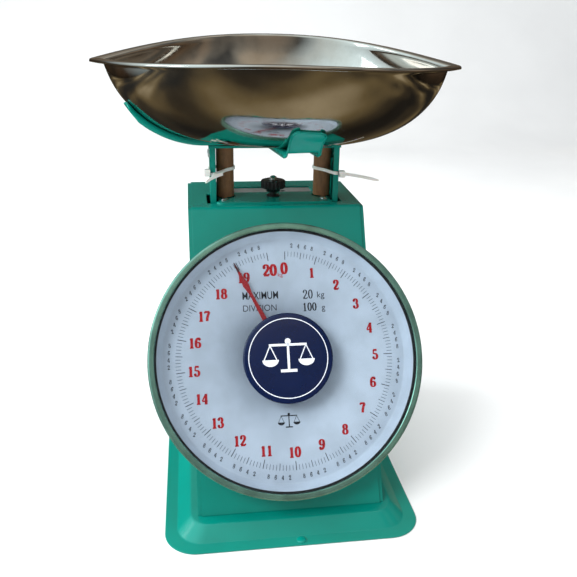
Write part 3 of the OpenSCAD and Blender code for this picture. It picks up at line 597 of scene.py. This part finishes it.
def balance_sign(p, cx, cy, s, z):
    """A pair of scales: post, foot, beam and two hanging pans."""
    def put(v, f):
        p.add([(x * s, y * s) for x, y in v], f, (cx, cy), z)
    for a, b, w in (((0, -8.5), (0, 8.6), 1.5), ((-5.2, -9), (5.2, -9), 1.8), ((-12, 7.2), (12, 7.2), 1.5),
                    ((-11.4, 7), (-15.4, -2), 0.6), ((-11.4, 7), (-7.4, -2), 0.6),
                    ((11.4, 7), (15.4, -2), 0.6), ((11.4, 7), (7.4, -2), 0.6)):
        dx, dy = b[0] - a[0], b[1] - a[1]
        n = math.hypot(dx, dy)
        ox, oy = -dy / n * w / 2, dx / n * w / 2
        put([(a[0] + ox, a[1] + oy), (a[0] - ox, a[1] - oy), (b[0] - ox, b[1] - oy), (b[0] + ox, b[1] + oy)],
            [(0, 1, 2, 3)])
    for side in (-1, 1):
        bowl = [(side * 11.4 + 5.2 * math.cos(math.radians(a)), -2 + 4.2 * math.sin(math.radians(a)))
                for a in range(180, 361, 15)]
        put(bowl, [tuple(range(len(bowl)))])
    knob = [(1.9 * math.cos(math.radians(a)), 9.4 + 1.9 * math.sin(math.radians(a))) for a in range(0, 360, 24)]
    put(knob, [tuple(range(len(knob)))])


def build_signs():
    badge, small = Print(), Print()
    balance_sign(badge, 0, 1.5, 1.32, 17.62)
    ring = oval(0, 0, 33, 33, n=96)[:-1]
    v, f = stroke(ring, 0.7, 0.7, True)
    badge.add(v, f, (0, 0), 17.5)
    badge.make("badge_sign", WHITE_INK, "navy_disc")
    balance_sign(small, 0, -52, 0.58, 0.06)
    small.make("small_sign", BLACK_INK)


build_signs()


# ---------- pointer ----------

def build_pointer():
    half = [(-26, 2.6), (0, 2.4), (36, 2.2), (58, 1.45), (64, 1.5), (68, 2.2), (71, 2.8), (74, 2.3), (78, 1.4),
            (84, 1.1)]
    tip = [(84, 1.1), (90, 0.85), (93, 0.35)]

    def blade(rows, z0, z1):
        verts, n = [], 4
        for y, w in rows:
            verts += [(-w, y, z0), (w, y, z0), (w * 0.86, y, z1), (-w * 0.86, y, z1)]
        faces = grid_faces(len(rows), n, False, True)
        faces.append((3, 2, 1, 0))
        faces.append(tuple((len(rows) - 1) * n + i for i in range(n)))
        return verts, [f[::-1] for f in faces]

    turn = Matrix.Rotation(math.radians(POINTER_REST), 4, "Z")

    def place(verts):
        return [tuple(turn @ Vector(p)) for p in verts]

    v, f = blade(half, 4.2, 5.0)
    ring_v, ring_f = lathe([(3.05, 4.2), (7, 4.2), (7, 4.9), (6.9, 5), (3.05, 5)], 48)
    k = len(v)
    v, f = v + ring_v, f + [tuple(k + i for i in q) for q in ring_f]
    disc_v, disc_f = capped([(6, 4.2), (6, 4.9), (5.9, 5)], 40)
    k = len(v)
    v, f = v + [(x, y - 28, z) for x, y, z in disc_v], f + [tuple(k + i for i in q) for q in disc_f]
    red = dial_piece("red_blade", place(v), f, RED_PAINT, "pointer_red", "pointer_group", smooth=False)
    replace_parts(red, "pointer")
    v, f = blade(tip, 4.2, 5.0)
    dial_piece("dark_tip", place(v), f, DARK_PAINT, "pointer_red", "pointer_group", smooth=False)


build_pointer()


# ---------- pan ----------

PAN_L, PAN_W, PAN_H, ARCH = 320, 248, 60.7, 12.5
BODY_L, BODY_W, SHARE, END, POWER = 301, 240, 0.46, 72, 5


def seated(p):
    m = Matrix.Translation((PAN_X, PAN_Y, SEAT_Z)) @ Matrix.Rotation(math.radians(PAN_LEAN), 4, "X") \
        @ Matrix.Rotation(math.radians(PAN_TURN), 4, "Z")
    return tuple(m @ Vector(p))


def lens(l, w, g):
    s = math.sin(g)
    return l / 2 * math.cos(g), w / 2 * (1 if s > 0 else -1 if s < 0 else 0) * (1 - abs(math.cos(g)) ** 2.7)


def rim_z(g):
    return PAN_H + ARCH * (1 - math.cos(g) ** 2)


def build_pan():
    n = 360
    angles = [2 * math.pi * i / n for i in range(n)]
    rows = []
    t = 0.9
    low = [(SHARE * BODY_L / 2 * math.cos(g), SHARE * BODY_W / 2 * math.sin(g)) for g in angles]
    for k in range(1, 9):
        rows.append([(x * k / 9, y * k / 9, t) for x, y in low])
    for i in range(0, 37):
        s = END * i / 36
        k = (s / END) ** POWER
        row = []
        for g, lo in zip(angles, low):
            ox, oy = (BODY_L / 2 - t) * math.cos(g), (BODY_W / 2 - t) * math.sin(g)
            lx, ly = lens(BODY_L - 2 * t, BODY_W - 2 * t, g)
            rx, ry = ox * (1 - k) + lx * k, oy * (1 - k) + ly * k
            o = math.sin(math.radians(s)) / math.sin(math.radians(END))
            u = (1 - math.cos(math.radians(s))) / (1 - math.cos(math.radians(END)))
            z = t + (rim_z(g) - 1.6 - t) * u
            row.append((lo[0] + (rx - lo[0]) * o, lo[1] + (ry - lo[1]) * o, z))
        rows.append(row)
    for share, dz in ((0.04, -0.85), (0.12, -0.3), (0.25, -0.05), (0.5, 0.0), (0.75, 0.0), (0.88, -0.05),
                      (0.95, -0.35), (0.985, -0.9), (1.0, -1.5), (0.985, -2.1)):
        row = []
        for g in angles:
            ax, ay = lens(BODY_L - 2 * t, BODY_W - 2 * t, g)
            bx, by = lens(PAN_L, PAN_W, g)
            row.append((ax + (bx - ax) * share, ay + (by - ay) * share, rim_z(g) + dz))
        rows.append(row)
    verts = [seated(p) for row in rows for p in row]
    faces = grid_faces(len(rows), n, False, True)
    centre = len(verts)
    verts.append(seated((0, 0, t)))
    faces += [(centre, i, (i + 1) % n) for i in range(n)]
    pan = piece("spouted_pan", verts, faces, POLISHED, "pan_body", "polished_steel")
    solidify(pan, 0.85, -1)
    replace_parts(pan, "pan")
    return verts, faces


PAN_MESH = build_pan()


def pan_tree():
    return BVHTree.FromPolygons([Vector(v) for v in PAN_MESH[0]], PAN_MESH[1])


# ---------- cradle ----------

PAN_UNDER = pan_tree()


def build_cradle():
    """Four channel arms: web under the pan, a flange down each edge, ends cut square with rounded corners."""
    w, t, flange, level = 13.25, 1.5, 4.4, 295.3
    cols = 17
    verts, faces = [], []

    def under(x, y):
        hit = PAN_UNDER.ray_cast(Vector((x, y, 200)), Vector((0, 0, 1)))
        if hit[0] is None:
            return 400.0
        return hit[0].z - 1.7 / max(abs(hit[1].z), 0.3)

    def arm(angle, reach, corner, tab=None):
        ca, sa = math.cos(angle), math.sin(angle)

        def spot(rho, y):
            x, yy = PAN_X + rho * ca - y * sa, PAN_Y + rho * sa + y * ca
            if tab:
                bend, slope, r = tab
                k = rho - bend
                if k <= 0:
                    z = level
                elif k < r:
                    z = level + slope * k * k / (2 * r)
                else:
                    z = level + slope * (k - r / 2)
                z = min(z, max(level, under(x, yy)))
            else:
                z = max(level, under(x, yy))
            return x, yy, z
        stops = [0, 6, 11, 12.5, 14, 20, 30] + [40 + i * (reach - corner - 41) / 40 for i in range(41)]
        stops += [reach - corner * (1 - math.sin(math.radians(k))) for k in range(0, 91, 10)]
        base, count = len(verts), 0
        for rho in stops:
            left = reach - rho
            d = corner - left
            half = w - (corner - math.sqrt(max(corner * corner - d * d, 0)) if d > 0 else 0)
            if tab:
                deep = 0.8 + (flange - 0.8) * min(1, max(0, left - 14) / 9)
            else:
                deep = flange * min(1, (left + 2.5) / 14)
            if rho < 12.5:
                deep = 0.02
            fr = min(2.0, max(deep, 0.02))
            section = [(-half, deep)] + [(-half + fr * (1 - math.cos(a)), fr * (1 - math.sin(a)))
                                         for a in (math.radians(15 * k) for k in range(0, 7))]
            section = section + [(0, 0)] + [(-y, q) for y, q in section[::-1]]
            for y, q in section:
                x0, y0, z0 = spot(rho, y)
                x1, y1, z1 = spot(rho + 0.5, y)
                tangent = Vector((x1 - x0, y1 - y0, z1 - z0)).normalized()
                out = tangent.cross(Vector((-sa, ca, 0))).normalized()
                if out.z > 0:
                    out = -out
                verts.append((x0 + out.x * q, y0 + out.y * q, z0 + out.z * q))
            count += 1
        for r in range(count - 1):
            for c in range(cols - 1):
                a0 = base + r * cols + c
                faces.append((a0, a0 + cols, a0 + cols + 1, a0 + 1))

    turn = math.radians(8)
    arm(turn, 128, 4)
    arm(turn + math.pi, 131, 4)
    arm(turn - math.pi / 2, 99.5, 4.5, (79.5, 1.32, 6))
    arm(turn + math.pi / 2, 104, 4)
    cradle = piece("four_arm_cradle", verts, faces, ENAMEL_SMOOTH, "load_frame", "green_enamel")
    solidify(cradle, t, 1)
    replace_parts(cradle, "pan_cradle")


build_cradle()


# ---------- zero knob ----------

def build_knob():
    r = 11.4

    def swell(a, k):
        deep = profile[k][2]
        return -deep * (0.5 - 0.5 * math.cos(18 * a)) ** 1.5

    profile = [(6.5, 246, 0), (6.5, 248.6, 0), (9.6, 249, 0.1), (10.8, 249.3, 0.6), (r, 250.1, 1.3), (r, 252.5, 1.3),
               (r, 255.4, 1.3), (10.9, 256.2, 0.8), (10.2, 256.55, 0.2), (9.4, 256.6, 0), (5.6, 256.2, 0),
               (3.1, 256.2, 0)]
    v, f = capped([(p[0], p[1]) for p in profile], 216, swell=swell)
    knob = piece("ribbed_knob", [(x, y + POST_Y, z) for x, y, z in v], f, BLACK, "knob_group", "black_plastic")
    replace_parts(knob, "zero_knob")


build_knob()


# ---------- cable ties ----------

def ribbon(path, half_w, t, ups):
    """Flat strap along a path; ups gives the direction across its width at each point."""
    verts = []
    n = len(path)
    for i, p in enumerate(path):
        a, b = Vector(path[max(i - 1, 0)]), Vector(path[min(i + 1, n - 1)])
        along = (b - a).normalized()
        up = Vector(ups[i]).normalized()
        out = along.cross(up).normalized()
        h = half_w[i] if isinstance(half_w, list) else half_w
        c = Vector(p)
        for sx, sy in ((-1, -1), (1, -1), (1, 1), (-1, 1)):
            verts.append(tuple(c + up * h * sx + out * t / 2 * sy))
    faces = grid_faces(n, 4, False, True)
    faces.append((3, 2, 1, 0))
    faces.append(tuple((n - 1) * 4 + i for i in range(4)))
    return verts, faces


def smooth_loop(points, rounds=3):
    for _ in range(rounds):
        out = []
        for i in range(len(points)):
            a, b = Vector(points[i]), Vector(points[(i + 1) % len(points)])
            out += [tuple(a * 0.75 + b * 0.25), tuple(a * 0.25 + b * 0.75)]
        points = out
    return points


def smooth_path(points, rounds=3):
    for _ in range(rounds):
        out = [points[0]]
        for i in range(len(points) - 1):
            a, b = Vector(points[i]), Vector(points[i + 1])
            out += [tuple(a * 0.75 + b * 0.25), tuple(a * 0.25 + b * 0.75)]
        out.append(points[-1])
        points = out
    return points


def build_tie(name, node, sign, tube, z, tilt, tail, head):
    """Strap round a tube of 8 mm radius, centred at the distance tube, and the post beside it."""
    inner = tube - 8.7
    corners = [(inner, 33.5), (tube, 29.2), (53, 17.2), (58.8, 17.2),
               (58.8, 50.8), (53, 50.8), (tube, 46.8), (inner, 42.5)]
    loop = [(sign * x, y, z + tilt * (x - 48)) for x, y in corners]
    loop = smooth_loop(loop, 3)
    loop.append(loop[0])
    v, f = ribbon(loop, 1.45, 0.9, [(0, 0, 1)] * len(loop))
    path = smooth_path(tail, 3)
    n = len(path)
    widths = [1.45 * (1 if i < n * 0.75 else 1 - 0.65 * (i - n * 0.75) / (n * 0.25)) for i in range(n)]
    tv, tf = ribbon(path, widths, 0.85, [(0, 0.15, 1)] * n)
    k = len(v)
    v, f = v + tv, f + [tuple(k + i for i in q) for q in tf]
    hx, hy, hz = head
    k = len(v)
    hw, hd, hh = 2.6, 2.6, 3.0
    block = [(hx + sx * hw * s, hy + sy * hd * s, hz + zz)
             for zz, s in ((-hh, 0.86), (-hh + 0.6, 1), (hh - 0.6, 1), (hh, 0.86))
             for sx, sy in ((-1, -1), (1, -1), (1, 1), (-1, 1))]
    v += block
    f += [tuple(k + i for i in q) for q in grid_faces(4, 4, False, True)]
    f += [(k + 3, k + 2, k + 1, k), (k + 12, k + 13, k + 14, k + 15)]
    tie = piece(name, v, f, NYLON, "load_frame", "white_nylon", smooth=False)
    bevel(tie, 0.25, 2)
    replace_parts(tie, node)


build_tie("right_nylon_tie", "right_cable_tie", 1, 46.2, 266.2, -0.1,
          [(60, 15.8, 265), (68, 13.8, 264.6), (80, 10.5, 263), (93, 7.5, 260.4)], (60.6, 16.4, 264.8))
build_tie("left_nylon_tie", "left_cable_tie", -1, 44.0, 266.4, -0.12,
          [(-47, 15.8, 266.3), (-52, 13, 265.4), (-58, 10, 263.4), (-62.5, 7.5, 260.6)], (-60.6, 17.6, 267.2))


# ---------- stage, light and camera ----------

def stage_material():
    x = Mat("studio_floor")
    x.colour(x.ramp(x.noise(3, 3), [(0.3, srgb(232, 232, 231)), (0.7, srgb(237, 237, 236))]))
    x.rough(x.span(x.noise(20, 3), 0.55, 0.7))
    return x.m


def build_stage():
    size, back, r = 6.0, 2.6, 1.0
    verts, faces = [], []
    profile = [(-size, 0), (back - r, 0)]
    profile += [(back - r + r * math.sin(math.radians(a)), r - r * math.cos(math.radians(a)))
                for a in range(10, 91, 10)]
    profile.append((back, 4.5))
    for y, z in profile:
        verts += [(-size, y, z), (size, y, z)]
    for i in range(len(profile) - 1):
        faces.append((2 * i, 2 * i + 1, 2 * i + 3, 2 * i + 2))
    mesh = bpy.data.meshes.new("studio_floor")
    mesh.from_pydata(verts, [], faces)
    mesh.materials.append(stage_material())
    mesh.polygons.foreach_set("use_smooth", [True] * len(mesh.polygons))
    obj = bpy.data.objects.new("studio_floor", mesh)
    obj.visible_glossy = False
    bpy.context.scene.collection.objects.link(obj)


build_stage()


def glossy_only(obj):
    obj.visible_camera = False
    obj.visible_diffuse = False
    obj.visible_shadow = False
    obj.visible_transmission = False


def room_material():
    """Soft surroundings that only reflections see: warm and dim low down, pale above, bright at the upper left."""
    x = Mat("soft_surroundings", Base_Color=(0, 0, 0, 1), Roughness=1.0, Emission_Strength=1.0)
    sep = x.t.nodes.new("ShaderNodeSeparateXYZ")
    x.t.links.new(x.coord, sep.inputs["Vector"])
    height = x.span(sep.outputs["Z"], 0, 1, 0.0, 3.0)
    tones = x.ramp(height, [(0.0, (0.014, 0.010, 0.006, 1)), (0.1, (0.03, 0.02, 0.012, 1)),
                            (0.25, (0.09, 0.07, 0.05, 1)), (0.5, (0.16, 0.155, 0.14, 1)), (0.75, (0.3, 0.31, 0.29, 1)),
                            (1.0, (0.4, 0.42, 0.41, 1))])
    patches = x.ramp(x.noise(0.8, 2, 0.45), [(0.36, (0.3, 0.3, 0.32, 1)), (0.5, (1, 0.95, 0.9, 1)),
                                            (0.66, (1.9, 1.6, 1.35, 1))])
    mix = x.t.nodes.new("ShaderNodeMix")
    mix.data_type = "RGBA"
    mix.blend_type = "MULTIPLY"
    mix.inputs["Factor"].default_value = 1.0
    x.t.links.new(tones, mix.inputs["A"])
    x.t.links.new(patches, mix.inputs["B"])
    side = x.t.nodes.new("ShaderNodeVectorMath")
    side.operation = "DOT_PRODUCT"
    side.inputs[1].default_value = (-0.235, -0.04, 0.235)
    x.t.links.new(x.coord, side.inputs[0])
    glow = x.span(side.outputs["Value"], 0, 1, 0.58, 0.98)
    bright = x.t.nodes.new("ShaderNodeMix")
    bright.data_type = "RGBA"
    x.t.links.new(glow, bright.inputs["Factor"])
    x.t.links.new(mix.outputs["Result"], bright.inputs["A"])
    bright.inputs["B"].default_value = (1.1, 1.35, 1.42, 1)
    x.t.links.new(bright.outputs["Result"], x.bsdf.inputs["Emission Color"])
    return x.m


def build_surroundings():
    n, rings, r = 48, 16, 3.0
    verts = [(r * math.cos(math.radians(90 * j / rings)) * math.cos(2 * math.pi * i / n),
              r * math.cos(math.radians(90 * j / rings)) * math.sin(2 * math.pi * i / n),
              r * math.sin(math.radians(90 * j / rings))) for j in range(rings) for i in range(n)]
    faces = grid_faces(rings, n, False, True)
    faces.append(tuple((rings - 1) * n + i for i in range(n)))
    mesh = bpy.data.meshes.new("soft_surroundings")
    mesh.from_pydata(verts, [], faces)
    mesh.materials.append(room_material())
    obj = bpy.data.objects.new("soft_surroundings", mesh)
    bpy.context.scene.collection.objects.link(obj)
    glossy_only(obj)

    x = Mat("warm_board", Base_Color=(0, 0, 0, 1), Roughness=1.0, Emission_Strength=1.0)
    x.t.links.new(x.ramp(x.noise(1.0, 2, 0.4, (1, 2, 1)),
                         [(0.4, (0.012, 0.009, 0.006, 1)), (0.5, (0.045, 0.032, 0.016, 1)), (0.6, (0.16, 0.115, 0.05, 1)),
                          (0.72, (0.42, 0.34, 0.21, 1))]),
                  x.bsdf.inputs["Emission Color"])
    w = Mat("window_light", Base_Color=(0, 0, 0, 1), Roughness=1.0, Emission_Strength=3.6)
    w.t.links.new(w.ramp(w.noise(3.0, 2), [(0.3, (0.8, 0.95, 1, 1)), (0.7, (1, 1, 1, 1))]),
                  w.bsdf.inputs["Emission Color"])
    for k, y in enumerate((-0.75, 0.0)):
        mesh = bpy.data.meshes.new("window_light_%d" % (k + 1))
        mesh.from_pydata([(-2.2, y, 0.9), (-2.2, y + 0.45, 0.9), (-1.9, y + 0.45, 1.7), (-1.9, y, 1.7)],
                         [], [(0, 1, 2, 3)])
        mesh.materials.append(w.m)
        obj = bpy.data.objects.new(mesh.name, mesh)
        bpy.context.scene.collection.objects.link(obj)
        glossy_only(obj)

    mesh = bpy.data.meshes.new("warm_board")
    mesh.from_pydata([(-3, -3, 0.0015), (3, -3, 0.0015), (3, 3, 0.0015), (-3, 3, 0.0015)], [], [(0, 1, 2, 3)])
    mesh.materials.append(x.m)
    obj = bpy.data.objects.new("warm_board", mesh)
    bpy.context.scene.collection.objects.link(obj)
    glossy_only(obj)


build_surroundings()


def area(name, centre, target, size, power, tone=(1, 1, 1)):
    """A soft light; glossy rays see the surroundings instead of it."""
    light = bpy.data.lights.new(name, "AREA")
    light.energy = power
    light.color = tone
    light.size = size
    obj = bpy.data.objects.new(name, light)
    bpy.context.scene.collection.objects.link(obj)
    obj.visible_glossy = False
    obj.location = centre
    obj.rotation_euler = (Vector(target) - Vector(centre)).to_track_quat("-Z", "Y").to_euler()


area("key", (-1.3, -1.1, 1.5), (0, 0, 0.15), 0.9, 34, (0.95, 0.98, 1))
area("fill", (1.9, -1.4, 1.0), (0, 0, 0.15), 1.2, 2.5)
area("top", (0.1, 0.3, 2.0), (0, 0, 0.2), 1.3, 26)
area("side_left", (-1.8, 0.3, 0.7), (0, 0, 0.2), 0.9, 44, (0.9, 0.98, 1))

world = bpy.data.worlds.new("studio")
world.use_nodes = True
world.node_tree.nodes["Background"].inputs["Color"].default_value = (0.95, 0.97, 1, 1)
world.node_tree.nodes["Background"].inputs["Strength"].default_value = 0.68
bpy.context.scene.world = world
bpy.context.scene.view_settings.view_transform = "Standard"


def build_camera():
    yaw, pitch, roll = math.radians(8.23), math.radians(21.39), math.radians(-1.05)
    forward = Vector((math.sin(yaw) * math.cos(pitch), math.cos(yaw) * math.cos(pitch), -math.sin(pitch)))
    right = Vector((math.cos(yaw), -math.sin(yaw), 0))
    down = forward.cross(right)
    image_right = right * math.cos(roll) + down * math.sin(roll)
    image_down = right * -math.sin(roll) + down * math.cos(roll)
    m = Matrix((image_right, -image_down, -forward)).transposed().to_4x4()
    m.translation = Vector((-0.0738, -0.5881, 0.39425))
    data = bpy.data.cameras.new("camera")
    data.lens = 42.83
    data.sensor_width = 36
    data.clip_start = 0.01
    obj = bpy.data.objects.new("camera", data)
    bpy.context.scene.collection.objects.link(obj)
    obj.matrix_world = m
    bpy.context.scene.camera = obj


build_camera()
